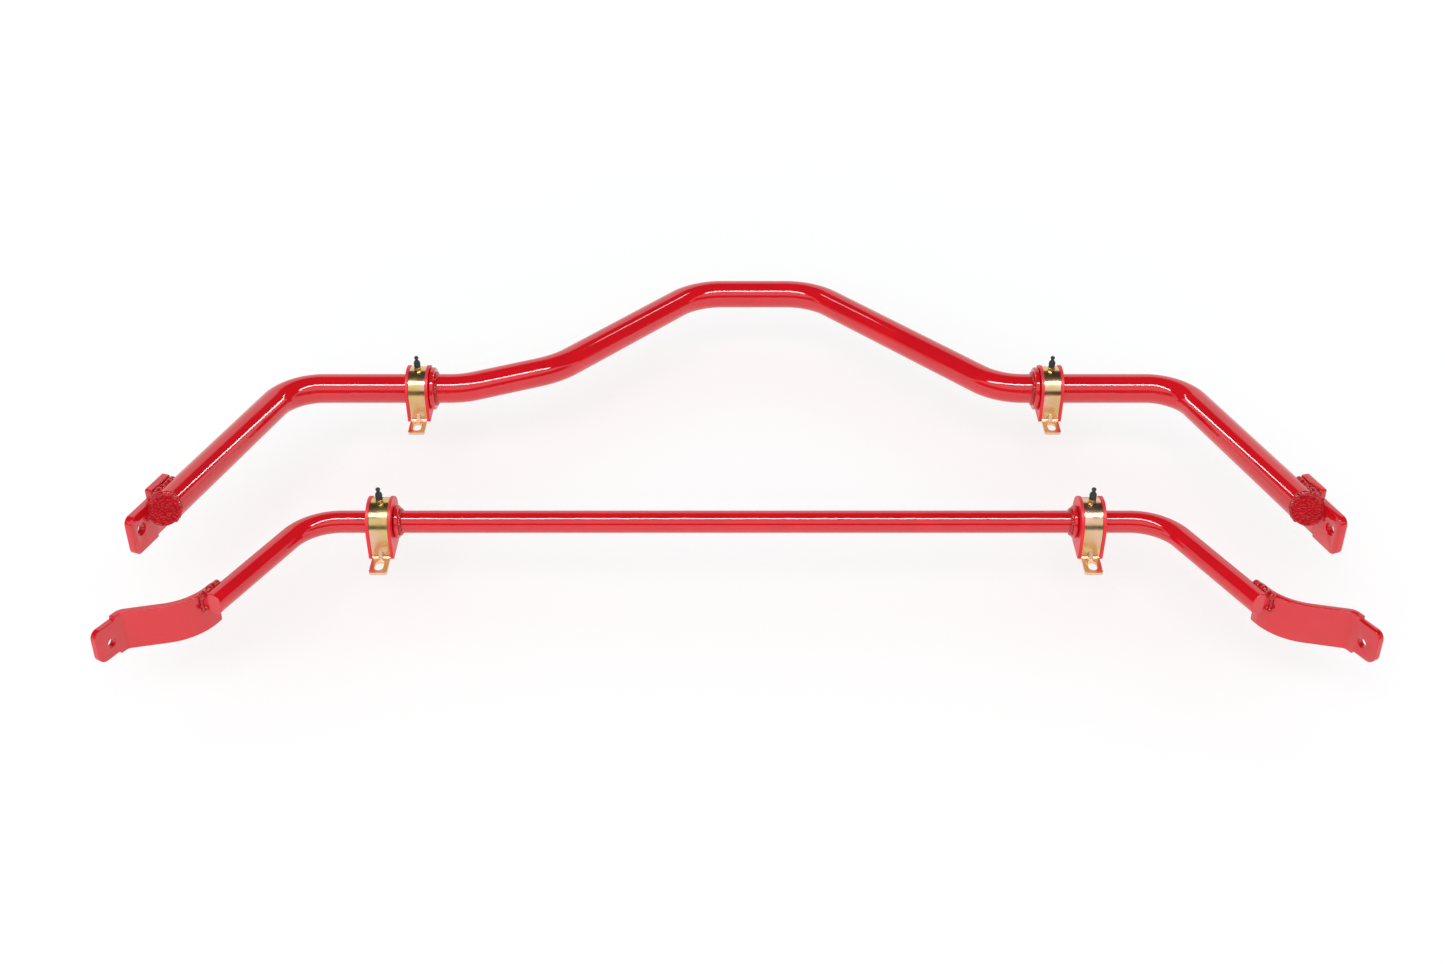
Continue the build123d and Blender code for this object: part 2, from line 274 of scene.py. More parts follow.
def cut(obj, tool, operation="DIFFERENCE"):
    modify(obj, "BOOLEAN", operation=operation, object=tool, solver="EXACT")
    bpy.data.objects.remove(tool)


def lumps(obj, name, size, depth):
    """Push the surface in and out by a fine procedural noise."""
    texture = bpy.data.textures.new(name, "CLOUDS")
    texture.noise_scale = size
    texture.noise_depth = 2
    modify(obj, "DISPLACE", texture=texture, strength=depth, mid_level=0.5,
           texture_coords="LOCAL")


def weigh_edges(obj, angle, fine):
    """Give the sharp edges a bevel weight: little for those that pass the fine test."""
    mesh = bmesh.new()
    mesh.from_mesh(obj.data)
    weight = mesh.edges.layers.float.new("bevel_weight_edge")
    for edge in mesh.edges:
        if edge.calc_face_angle(0) > math.radians(angle):
            centre = (edge.verts[0].co + edge.verts[1].co) / 2
            edge[weight] = FINE_WEIGHT if fine(centre) else 1.0
    mesh.to_mesh(obj.data)
    mesh.free()


def bevel(obj, width, segments, angle, limit="ANGLE"):
    modify(obj, "BEVEL", width=width, segments=segments, limit_method=limit,
           angle_limit=math.radians(angle))


def soft_edges(obj, width, segments=3, angle=SHARP, fine=None):
    """Round the edges, the fine ones less, and shade the faces between them flat."""
    if fine:
        weigh_edges(obj, angle, fine)
    bevel(obj, width, segments, angle, "WEIGHT" if fine else "ANGLE")
    smooth(obj, angle)
    modify(obj, "WEIGHTED_NORMAL", keep_sharp=True)


def smooth(obj, angle=180):
    """Shade smooth across edges that are no sharper than the angle."""
    only(obj)
    if angle < 180:
        bpy.ops.object.shade_smooth_by_angle(angle=math.radians(angle))
    else:
        bpy.ops.object.shade_smooth()


def twin(obj, matrix):
    """A copy with its own mesh, moved or mirrored."""
    mesh = obj.data.copy()
    mesh.transform(matrix)
    if matrix.determinant() < 0:
        mesh.flip_normals()
    copy = bpy.data.objects.new(obj.name, mesh)
    bpy.context.scene.collection.objects.link(copy)
    return copy


def hand_over(obj, node, material):
    """Name the piece, give it its finish and let it ride in place of its node."""
    leave_edit()
    obj.name = f"{node}_detail"
    obj.data.name = obj.name
    obj.data.materials.clear()
    obj.data.materials.append(material)
    body = frame["nodes"][node].parent.name.split(":")[-1]
    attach(obj, body)
    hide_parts(node)


def both_hands(obj, prefix, name, material):
    """Hand over the left-hand piece and its mirror image, both coated red."""
    right = twin(obj, MIRROR_X)
    for piece, side in ((obj, "left"), (right, "right")):
        hand_over(piece, f"{prefix}_{side}_{name}", material)


def middle(node):
    low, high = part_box(node)
    return (Vector(low) + Vector(high)) / 2


def set_over(made, seat, height, node, material):
    """Hand over a copy of the piece that stands over the middle of its seat."""
    spot = middle(seat)
    hand_over(twin(made, Matrix.Translation((spot.x, spot.y, height))), node, material)


def route(points, radii):
    """Straight runs and bends that follow these corners in the bar's plane."""
    points = [Vector((x, y, 0)) * MM for x, y in points]
    place, moves = points[0], []
    for before, corner, after, radius in zip(points, points[1:], points[2:], radii):
        ahead = (corner - before).normalized()
        then = (after - corner).normalized()
        turn = math.atan2(ahead.cross(then).z, ahead.dot(then))
        reach = radius * MM * math.tan(abs(turn) / 2)
        begin = corner - ahead * reach
        side = Vector((-ahead.y, ahead.x, 0)) * math.copysign(radius * MM, turn)
        moves.append(("run", begin - place))
        moves.append(("bend", begin + side, turn))
        place = corner + then * reach
    moves.append(("run", points[-1] - place))
    return moves


def follow(moves, degrees_a_step=2.5):
    """Extrude and spin the selected loop along a route."""
    for move in moves:
        if move[0] == "run":
            pull(move[1])
        else:
            steps = max(5, math.ceil(math.degrees(abs(move[2])) / degrees_a_step))
            sweep_round(move[1], move[2], Z_AXIS, steps)


def round_bar(points, radii, radius):
    """A round bar bent along a route, open at both ends."""
    first, second = (Vector((x, y, 0)) * MM for x, y in points[:2])
    heading = math.atan2(second.y - first.y, second.x - first.x)
    obj = primitive("circle", vertices=96, radius=radius, location=first,
                    rotation=(0, math.pi / 2, heading))
    edit(obj)
    pick_all()
    follow(route(points, radii))
    close_up()
    return obj


def turned(profile, sides=48):
    """A turned piece about Z from (radius, height) steps, closed at both ends."""
    (r0, z0), rest = profile[0], profile[1:]
    obj = primitive("circle", vertices=sides, radius=r0 * MM, location=(0, 0, z0 * MM),
                    fill_type="NGON")
    edit(obj)
    pick_all()
    for r1, z1 in rest:
        pull((0, 0, (z1 - z0) * MM))
        scale((r1 / r0, r1 / r0, 1), (0, 0, z1 * MM))
        r0, z0 = r1, z1
    close_up()
    leave_edit()
    return obj


def arm_place(corner_x, angle):
    """Matrix of the left arm: x along the arm, y outward, z up."""
    a = math.radians(angle)
    return Matrix(((-math.cos(a), -math.sin(a), 0, -corner_x * MM),
                   (-math.sin(a), math.cos(a), 0, 0), (0, 0, 1, 0), (0, 0, 0, 1)))


def bar_place(node_y, tilt):
    """Matrix that lifts a bar to its axis and raises its arms."""
    return Matrix.Translation((0, node_y, AXIS_HEIGHT)) @ Matrix.Rotation(
        math.radians(-tilt), 4, "X")


FRONT = bar_place(middle("front_left_bushing").y, FRONT_TILT)
REAR = bar_place(middle("rear_left_bushing").y, REAR_TILT)
FRONT_ARM = arm_place(FRONT_CORNER, FRONT_ARM_ANGLE)
REAR_ARM = arm_place(REAR_CORNER, REAR_ARM_ANGLE)
CUT_NORMAL = Vector((-0.003, -0.948, 0.318)).normalized()
CUT_POINT = FRONT_ARM @ Vector((TUBE_END * MM, 0, 0))


# ---------------------------------------------------------------- finishes
def add(tree, kind, place=(0, 0), **values):
    node = tree.nodes.new(kind)
    node.location = place
    for key, value in values.items():
        if hasattr(node, key):
            setattr(node, key, value)
        else:
            node.inputs[key.replace("_", " ")].default_value = value
    return node


def join(tree, source, target):
    """Link a socket to another, or give that one a plain value."""
    if isinstance(source, bpy.types.NodeSocket):
        tree.links.new(source, target)
    else:
        target.default_value = source


def ramp(tree, source, place, **values):
    node = add(tree, "ShaderNodeMapRange", place, **values)
    join(tree, source, node.inputs[0])
    return node.outputs[0]


def mix(tree, place, factor, a, b, kind="RGBA"):
    node = add(tree, "ShaderNodeMix", place, data_type=kind)
    first, out = (6, 2) if kind == "RGBA" else (2, 0)
    for index, source in ((0, factor), (first, a), (first + 1, b)):
        join(tree, source, node.inputs[index])
    return node.outputs[out]


def effect(name, inputs, outputs):
    """An empty shader node group with named sockets, or None if it is there already."""
    if name in bpy.data.node_groups:
        return None
    tree = bpy.data.node_groups.new(name, "ShaderNodeTree")
    for label, kind, value in inputs:
        socket = tree.interface.new_socket(name=label, in_out="INPUT",
                                           socket_type=f"NodeSocket{kind}")
        if value is not None:
            socket.default_value = value
    for label, kind in outputs:
        tree.interface.new_socket(name=label, in_out="OUTPUT",
                                  socket_type=f"NodeSocket{kind}")
    tree.nodes.new("NodeGroupInput").location = (-800, 0)
    tree.nodes.new("NodeGroupOutput").location = (600, 0)
    return tree


def ends(tree):
    return tree.nodes["Group Input"].outputs, tree.nodes["Group Output"].inputs


def tone_drift():
    """Colour that drifts between two tones, with a third in small patches."""
    tree = effect("tone_drift", [("Vector", "Vector", None), ("Scale", "Float", 20.0),
                                 ("Main", "Color", (1, 1, 1, 1)),
                                 ("Second", "Color", (1, 1, 1, 1)),
                                 ("Third", "Color", (1, 1, 1, 1))], [("Color", "Color")])
    if tree:
        given, out = ends(tree)
        large = add(tree, "ShaderNodeTexNoise", (-560, 160), Detail=3.0, Roughness=0.55)
        small = add(tree, "ShaderNodeTexNoise", (-560, -200), Detail=2.0, Roughness=0.5)
        double = add(tree, "ShaderNodeMath", (-720, -260), operation="MULTIPLY")
        double.inputs[1].default_value = 2.7
        join(tree, given["Scale"], double.inputs[0])
        for noise, source in ((large, given["Scale"]), (small, double.outputs[0])):
            join(tree, given["Vector"], noise.inputs["Vector"])
            join(tree, source, noise.inputs["Scale"])
        wide = ramp(tree, large.outputs[0], (-340, 160), From_Min=0.36, From_Max=0.64)
        patch = ramp(tree, small.outputs[0], (-340, -200), From_Min=0.50, From_Max=0.70)
        first = mix(tree, (-80, 120), wide, given["Main"], given["Second"])
        join(tree, mix(tree, (160, 40), patch, first, given["Third"]), out["Color"])
    return bpy.data.node_groups["tone_drift"]


def surface_grain():
    """Height of a fine grain over a slower waviness."""
    tree = effect("surface_grain", [("Vector", "Vector", None), ("Fine", "Float", 1200.0),
                                    ("Wave", "Float", 180.0), ("Share", "Float", 0.5)],
                  [("Height", "Float"), ("Mask", "Float")])
    if tree:
        given, out = ends(tree)
        fine = add(tree, "ShaderNodeTexNoise", (-500, 160), Detail=2.0, Roughness=0.5)
        wave = add(tree, "ShaderNodeTexNoise", (-500, -160), Detail=1.0, Roughness=0.4)
        for noise, source in ((fine, "Fine"), (wave, "Wave")):
            join(tree, given["Vector"], noise.inputs["Vector"])
            join(tree, given[source], noise.inputs["Scale"])
        blend = mix(tree, (-200, 0), given["Share"], wave.outputs[0], fine.outputs[0], "FLOAT")
        join(tree, blend, out["Height"])
        join(tree, wave.outputs[0], out["Mask"])
    return bpy.data.node_groups["surface_grain"]


def rgba(value, factor=1.0):
    return (*[min(1.0, c * factor) for c in value], 1.0)


def finish(name, tones, drift, grain, rough, bump, **fixed):
    """A procedural finish: drifting tone, roughness that follows the grain's waviness, and a
    grain bump.
    """
    if name in bpy.data.materials:
        return bpy.data.materials[name]
    material = bpy.data.materials.new(name)
    material.use_nodes = True
    tree = material.node_tree
    tree.nodes.clear()
    place = add(tree, "ShaderNodeTexCoord", (-900, 0))
    colour_group = add(tree, "ShaderNodeGroup", (-500, 200), node_tree=tone_drift())
    colour_group.inputs["Scale"].default_value = drift
    for label, tone in zip(("Main", "Second", "Third"), tones):
        colour_group.inputs[label].default_value = tone
    grain_group = add(tree, "ShaderNodeGroup", (-500, -200), node_tree=surface_grain())
    for label, value in zip(("Fine", "Wave", "Share"), grain):
        grain_group.inputs[label].default_value = value
    gloss = ramp(tree, grain_group.outputs["Mask"], (-200, 0), From_Min=0.3, From_Max=0.7,
                 To_Min=rough[0], To_Max=rough[1])
    height = add(tree, "ShaderNodeBump", (-200, -260), Strength=bump[0], Distance=bump[1])
    shader = add(tree, "ShaderNodeBsdfPrincipled", (100, 0))
    result = add(tree, "ShaderNodeOutputMaterial", (420, 0))
    for label, value in fixed.items():
        shader.inputs[label.replace("_", " ")].default_value = value
    for group in (colour_group, grain_group):
        join(tree, place.outputs["Object"], group.inputs["Vector"])
    join(tree, colour_group.outputs["Color"], shader.inputs["Base Color"])
    join(tree, gloss, shader.inputs["Roughness"])
    join(tree, grain_group.outputs["Height"], height.inputs["Height"])
    join(tree, height.outputs["Normal"], shader.inputs["Normal"])
    join(tree, shader.outputs["BSDF"], result.inputs["Surface"])
    return material


def colours():
    return bpy.context.scene.sway_finishes


def powder_coat():
    """The glossy red coat of both bars."""
    red = colours().coat
    return finish("glossy_red_coat", (rgba(red), rgba(red, 0.93), rgba(red, 1.05)), 9.0,
                  (700.0, 45.0, 0.25), (0.04, 0.08), (0.016, 0.2 * MM), IOR=1.7)


def shaded_weld_coat():
    """The same coat over the rough welds and end discs, in darker tones that paint shade into
    their rough surface.
    """
    red = colours().coat
    # darker copies of the coat red (0.75, 0.55, 0.9): painted shade on the welds and discs
    return finish("red_coated_weld", (rgba(red, 0.75), rgba(red, 0.55), rgba(red, 0.9)), 160.0,
                  (1100.0, 420.0, 0.5), (0.03, 0.09), (0.08, 0.3 * MM), IOR=1.6)


def urethane():
    """The satin red of the bushings."""
    red = colours().bushing
    return finish("moulded_red_urethane", (rgba(red), rgba(red, 0.94), rgba(red, 1.04)), 60.0,
                  (2600.0, 500.0, 0.6), (0.34, 0.44), (0.12, 0.15 * MM), IOR=1.5)


def yellow_zinc():
    """The plating of the straps, whose feet are a warmer pink."""
    c = colours()
    ready = "passivated_zinc" in bpy.data.materials
    material = finish("passivated_zinc", (rgba(c.gold), rgba(c.peach), rgba(c.olive, 1.5)), 34.0,
                      (900.0, 90.0, 0.3), (0.17, 0.26), (0.05, 0.12 * MM), Metallic=1.0)
    if not ready:
        tree = material.node_tree
        shader = next(n for n in tree.nodes if n.type == "BSDF_PRINCIPLED")
        place = next(n for n in tree.nodes if n.type == "TEX_COORD")
        parts = add(tree, "ShaderNodeSeparateXYZ", (-500, 500))
        join(tree, place.outputs["Object"], parts.inputs[0])
        low = ramp(tree, parts.outputs["Z"], (-300, 500), From_Min=14 * MM, From_Max=3 * MM,
                   To_Max=0.8)
        base = shader.inputs["Base Color"]
        blush = mix(tree, (-100, 400), low, base.links[0].from_socket, rgba(c.peach, 1.1))
        join(tree, blush, base)
    return material


def fitting_zinc():
    """The plating of the grease fittings."""
    c = colours()
    return finish("zinc_fitting", (rgba(c.gold), rgba(c.gold, 0.8), rgba(c.olive)), 240.0,
                  (3000.0, 700.0, 0.5), (0.14, 0.26), (0.08, 0.1 * MM), Metallic=1.0)


def spring_steel():
    """The bare steel of the check balls and springs."""
    grey = colours().steel
    return finish("ground_steel", (rgba(grey), rgba(grey, 0.9), rgba(grey, 1.1)), 300.0,
                  (4000.0, 900.0, 0.6), (0.16, 0.28), (0.08, 0.05 * MM), Metallic=1.0)


def black_rubber():
    """The rubber of the dust caps."""
    black = colours().rubber
    return finish("cap_rubber", (rgba(black), rgba(black, 1.5), rgba(black, 0.7)), 200.0,
                  (2800.0, 500.0, 0.6), (0.28, 0.42), (0.15, 0.15 * MM), IOR=1.5)


# ---------------------------------------------------------------- the pieces
class SWAY_OT_front_tube(bpy.types.Operator):
    """Bend the hollow front tube and cut its two ends"""
    bl_idname = "sway.front_tube"
    bl_label = "Front Tube"

    def execute(self, context):
        size = context.scene.sway_bars
        far = FRONT_ARM @ Vector((TUBE_SPARE * MM, 0, 0)) / MM
        points = [(far.x, far.y), (-FRONT_CORNER, 0), *HUMP, (FRONT_CORNER, 0),
                  (-far.x, far.y)]
        tube = round_bar(points, [ARM_BEND_R, *HUMP_RADII, ARM_BEND_R], size.front_radius)
        modify(tube, "SOLIDIFY", thickness=size.front_wall, offset=-1, use_even_offset=True)
        edit(tube)
        for side in (1, -1):
            pick_all()
            bpy.ops.mesh.bisect(plane_co=(CUT_POINT.x * side, CUT_POINT.y, 0),
                                plane_no=(CUT_NORMAL.x * side, CUT_NORMAL.y, CUT_NORMAL.z),
                                use_fill=True, clear_outer=True)
        smooth(tube, SHARP)
        tube.data.transform(FRONT)
        hand_over(tube, "front_bar_tube", powder_coat())
        return {"FINISHED"}


class SWAY_OT_front_ends(bpy.types.Operator):
    """Make the drilled end plates, the end discs and their welds"""
    bl_idname = "sway.front_ends"
    bl_label = "Front Ends"

    def execute(self, context):
        size = context.scene.sway_bars
        self.plates(size)
        self.discs(size)
        self.welds(size.front_radius)
        return {"FINISHED"}

    def plates(self, size):
        """Outline along the arm: a tall part with a tab on top, then a narrower tip."""
        near, tab, tip, step = 208.0, 240.5, 280.0, 243.0
        hair = 0.4                                # run over which the outline steps in
        plate = primitive("plane", span(((near + tab) / 2 * MM, -15.75 * MM, 0),
                                        ((tab - near) * MM, 40.5 * MM, 1)), size=1.0)
        edit(plate)
        pick(lambda c: c.y > 4 * MM)
        pull((0, 10 * MM, 0))
        pick(lambda c: c.x > (tab - 0.1) * MM and c.y < 5 * MM)
        pull(((step - tab) * MM, 0, 0))
        pull((hair * MM, 0, 0))
        pick(lambda c: c.x > (step + 0.2) * MM and c.y < -30 * MM)
        shift((0, -2.5 * MM, 0))
        pick(lambda c: c.x > (step + 0.2) * MM)
        pull(((tip - step - hair) * MM, 0, 0))
        for radius, where in ((8.0, lambda c: c.x > (tip - 0.1) * MM),
                              (2.0, lambda c: c.y > 14 * MM),
                              (2.5, lambda c: c.x < (near + 0.1) * MM and c.y < -30 * MM)):
            round_corners(where, radius, 10)
        close_up()
        modify(plate, "SOLIDIFY", thickness=size.plate_thickness, offset=0)
        hole = Vector((*PLATE_HOLE, 0)) * MM
        drill = primitive("cylinder", vertices=64, radius=size.plate_hole, depth=40 * MM,
                          location=hole)
        cut(plate, drill)
        soft_edges(plate, 0.9 * MM, fine=lambda c: (c - hole).length < 10 * MM)
        out = size.front_radius + size.plate_thickness / 2
        stand = Matrix(((1, 0, 0, 0), (0, 0, 1, out), (0, 1, 0, 0), (0, 0, 0, 1)))
        plate.data.transform(FRONT @ FRONT_ARM @ stand)
        plate.data.flip_normals()
        both_hands(plate, "front", "end_plate", powder_coat())

    def discs(self, size):
        along = FRONT_ARM.to_3x3() @ Vector((1, 0, 0))
        disc = primitive("cylinder", vertices=96, radius=size.front_radius, depth=70 * MM,
                         location=CUT_POINT, rotation=(0, math.pi / 2,
                                                       math.atan2(along.y, along.x)))
        edit(disc)
        for offset, inner, outer in ((0.0, True, False), (CAP_T * MM, False, True)):
            pick_all()
            bpy.ops.mesh.bisect(plane_co=CUT_POINT + CUT_NORMAL * offset, plane_no=CUT_NORMAL,
                                use_fill=True, clear_inner=inner, clear_outer=outer)
        bevel(disc, 0.9 * MM, 3, SHARP)
        modify(disc, "REMESH", mode="VOXEL", voxel_size=0.42 * MM)
        lumps(disc, "disc_pits", 1.6 * MM, 0.35 * MM)
        smooth(disc)
        disc.data.transform(FRONT)
        both_hands(disc, "front", "end_cap", shaded_weld_coat())

    def welds(self, radius):
        """Beads in both grooves beside the plate and round the disc."""
        dice = random.Random(7)
        r = radius / MM
        start, pitch = 211, 2.9                   # of the groove beads, along the arm
        drops = []
        for i in range(12):                       # along the top groove
            drops.append((start + i * pitch, r - 4.0, 10.6 + dice.uniform(-0.5, 0.7),
                          3.9 + dice.uniform(-0.5, 0.5)))
        for i in range(12):                       # along the lower groove
            drops.append((start + i * pitch, r - 4.2, -10.4, 3.5 + dice.uniform(-0.3, 0.4)))
        face = Vector(FRONT_ARM.to_3x3().inverted() @ CUT_NORMAL)

        def seam(y, z):
            """How far along the arm the cut lies at this place of the tube."""
            return TUBE_END - (face.y * y + face.z * z) / face.x

        for i in range(24):                       # round the disc's seam
            angle = math.radians(28 + i * 8.6)
            y, z = math.cos(angle) * (r - 0.4), math.sin(angle) * (r - 0.4)
            x = seam(y, z) + 1.2
            heavy = 0.9 if i < 13 else 0.0        # the upper half is built up more
            drops.append((x + dice.uniform(-0.4, 0.8), y, z,
                          1.7 + heavy + dice.uniform(-0.25, 0.45)))
        for i in range(13):                       # disc against the plate
            y, z = r - 0.7, -10.5 + i * 1.6
            drops.append((seam(y, z) + 1.2, y, z, 1.7 + dice.uniform(-0.1, 0.1)))
        weld = bead(drops, 0.5 * MM, 1.3 * MM, 0.7 * MM)
        weld.data.transform(FRONT @ FRONT_ARM)
        recalculate(weld)
        both_hands(weld, "front", "end_weld", shaded_weld_coat())


def recalculate(obj):
    """Turn every face outwards."""
    edit(obj)
    pick_all()
    bpy.ops.mesh.normals_make_consistent(inside=False)
    leave_edit()


def bead(drops, voxel, size, depth):
    """A weld built up of drops (x, y, z, radius) in millimetres, melted together."""
    obj = None
    for x, y, z, radius in drops:
        made = primitive("uv_sphere", segments=16, ring_count=10, radius=radius * MM,
                         location=(x * MM, y * MM, z * MM))
        if obj is None:
            obj = made
            edit(obj)
    modify(obj, "REMESH", mode="VOXEL", voxel_size=voxel)
    modify(obj, "SMOOTH", factor=0.5, iterations=2)
    lumps(obj, "weld_spatter", size, depth)
    smooth(obj)
    return obj


class SWAY_OT_rings(bpy.types.Operator):
    """Make the four locating rings and the bead that holds each"""
    bl_idname = "sway.rings"
    bl_label = "Locating Rings"

    def execute(self, context):
        size = context.scene.sway_bars
        for prefix, place, radius in (("front", FRONT, size.front_radius),
                                      ("rear", REAR, size.rear_radius)):
            x, outer, width = RINGS[prefix]
            inner = radius / MM - 0.3             # a little into the bar
            ring = primitive("plane", span((-x * MM, (outer + inner) / 2 * MM, 0),
                                           (width * MM, (outer - inner) * MM, 1)), size=1.0)
            edit(ring)
            round_corners(lambda c: c.y > (outer - 0.1) * MM, 1.9, 7)
            pick_all()
            bpy.ops.mesh.delete(type="ONLY_FACE")
            pick_all()
            sweep_round((0, 0, 0), math.tau, X_AXIS, 120)
            close_up()
            smooth(ring, SHARP)
            ring.data.transform(place)
            both_hands(ring, prefix, "ring", powder_coat())

            around, seat = 180, ((-x + width / 2 + 0.6) * MM, 0, 0)
            weld = primitive("torus", major_segments=around, minor_segments=16,
                             major_radius=radius + 0.7 * MM, minor_radius=2.0 * MM,
                             location=seat, rotation=ALONG_X)
            edit(weld)
            for k in range(0, around, 6):         # pinch the bead between its ripples
                angle = math.tau * k / around
                ray = Vector((0, math.cos(angle), math.sin(angle)))
                pick(lambda c: Vector((0, c.y, c.z)).normalized().dot(ray) > 0.99995)
                scale((0.86, 0.965, 0.965), seat)
            lumps(weld, f"{prefix}_ring_spatter", 2.6 * MM, 1.3 * MM)
            smooth(weld)
            weld.data.transform(place)
            both_hands(weld, prefix, "ring_weld", shaded_weld_coat())
        return {"FINISHED"}


class SWAY_OT_rear_rod(bpy.types.Operator):
    """Bend the solid rear rod"""
    bl_idname = "sway.rear_rod"
    bl_label = "Rear Rod"

    def execute(self, context):
        far = REAR_ARM @ Vector((ROD_END * MM, 0, 0)) / MM
        points = [(far.x, far.y), (-REAR_CORNER, 0), (REAR_CORNER, 0), (-far.x, far.y)]
        rod = round_bar(points, [ARM_BEND_R, ARM_BEND_R],
                        context.scene.sway_bars.rear_radius)
        for side in (-1, 1):                      # close each end
            end = Vector((-side * far.x, far.y, 0)) * MM
            pick(lambda c: (c - end).length < 12 * MM)
            bpy.ops.mesh.edge_face_add()
        close_up()
        soft_edges(rod, 0.8 * MM)
        rod.data.transform(REAR)
        hand_over(rod, "rear_bar_rod", powder_coat())
        return {"FINISHED"}


class SWAY_OT_rear_arms(bpy.types.Operator):
    """Bend and drill the flat arm plates and weld them to the rod"""
    bl_idname = "sway.rear_arms"
    bl_label = "Rear Arms"

    def execute(self, context):
        size = context.scene.sway_bars
        half = size.arm_thickness / 2
        begin = REAR_ARM @ Vector((ARM_START * MM, size.rear_radius + half, 0))
        flange = Vector(FLANGE_DIR).normalized()
        elbow = Vector((*ARM_CORNERS[1], 0)) * MM
        tip = elbow + flange * FLANGE_LENGTH * MM
        points = [(begin.x / MM, begin.y / MM), *ARM_CORNERS, (tip.x / MM, tip.y / MM)]
        moves = route(points, ARM_BENDS)
        run = moves[0][1]
        strip = primitive(
            "plane", Matrix.Translation(begin + run / 2 + Vector((0, 0, ARM_MIDDLE * MM)))
            @ Matrix.Rotation(math.atan2(run.y, run.x), 4, "Z")
            @ Matrix.Rotation(math.pi / 2, 4, "X")
            @ Matrix.Diagonal((run.length, ARM_HEIGHT * MM, 1, 1)), size=1.0)

        def over(spot):
            """Test for the vertices that lie over one spot of the bend line."""
            return lambda c: (Vector((c.x, c.y, 0)) - spot).length < 0.1 * MM

        def upper(c):
            return c.z > -14 * MM

        edit(strip)
        pick(over(begin + run))
        follow(moves[1:-1], 4)
        pull(flange * (9.5 * MM - ARM_BENDS[1] * MM * math.tan(abs(moves[3][2]) / 2)))
        pull(flange * 0.4 * MM)
        place = elbow + flange * 9.9 * MM
        for up in (1, -1):                        # the flange is a little narrower
            pick(lambda c: over(place)(c) and upper(c) == (up > 0))
            shift((0, 0, -FLANGE_STEP * MM * up))
        pick(over(place))
        pull(tip - place)
        round_corners(lambda c: over(tip)(c) and upper(c), 8.0, 10)
        round_corners(lambda c: over(tip)(c) and not upper(c), 9.0, 10)
        round_corners(over(begin), 2.0, 4)
        close_up()
        modify(strip, "SOLIDIFY", thickness=size.arm_thickness, offset=0, use_even_offset=True)
        hole = elbow + flange * FLANGE_HOLE[0] * MM + Vector((0, 0, FLANGE_HOLE[1] * MM))
        drill = primitive(
            "cylinder", vertices=48, radius=size.arm_hole, depth=40 * MM, location=hole,
            rotation=(math.pi / 2, 0, math.atan2(flange.y, flange.x)))
        cut(strip, drill)
        soft_edges(strip, 0.8 * MM, fine=lambda c: (c - hole).length < 8 * MM)
        strip.data.transform(REAR)
        both_hands(strip, "rear", "arm_plate", powder_coat())

        dice = random.Random(11)
        r = size.rear_radius / MM
        drops = []
        for i in range(9):                        # top and lower grooves
            for z, y, thick in ((8.0, r - 2.4, 3.5), (-8.0, r - 2.0, 2.8)):
                drops.append((130.5 + i * 2.7, y, z + dice.uniform(-0.3, 0.5),
                              thick + dice.uniform(-0.4, 0.6)))
        for i in range(9):                        # against the plate at the rod's end
            drops.append((150.2, r + 0.6, -7.5 + i * 1.8, 1.9 + dice.uniform(-0.2, 0.2)))
        weld = bead(drops, 0.5 * MM, 1.3 * MM, 0.7 * MM)
        weld.data.transform(REAR @ REAR_ARM)
        recalculate(weld)
        both_hands(weld, "rear", "arm_weld", shaded_weld_coat())
        return {"FINISHED"}


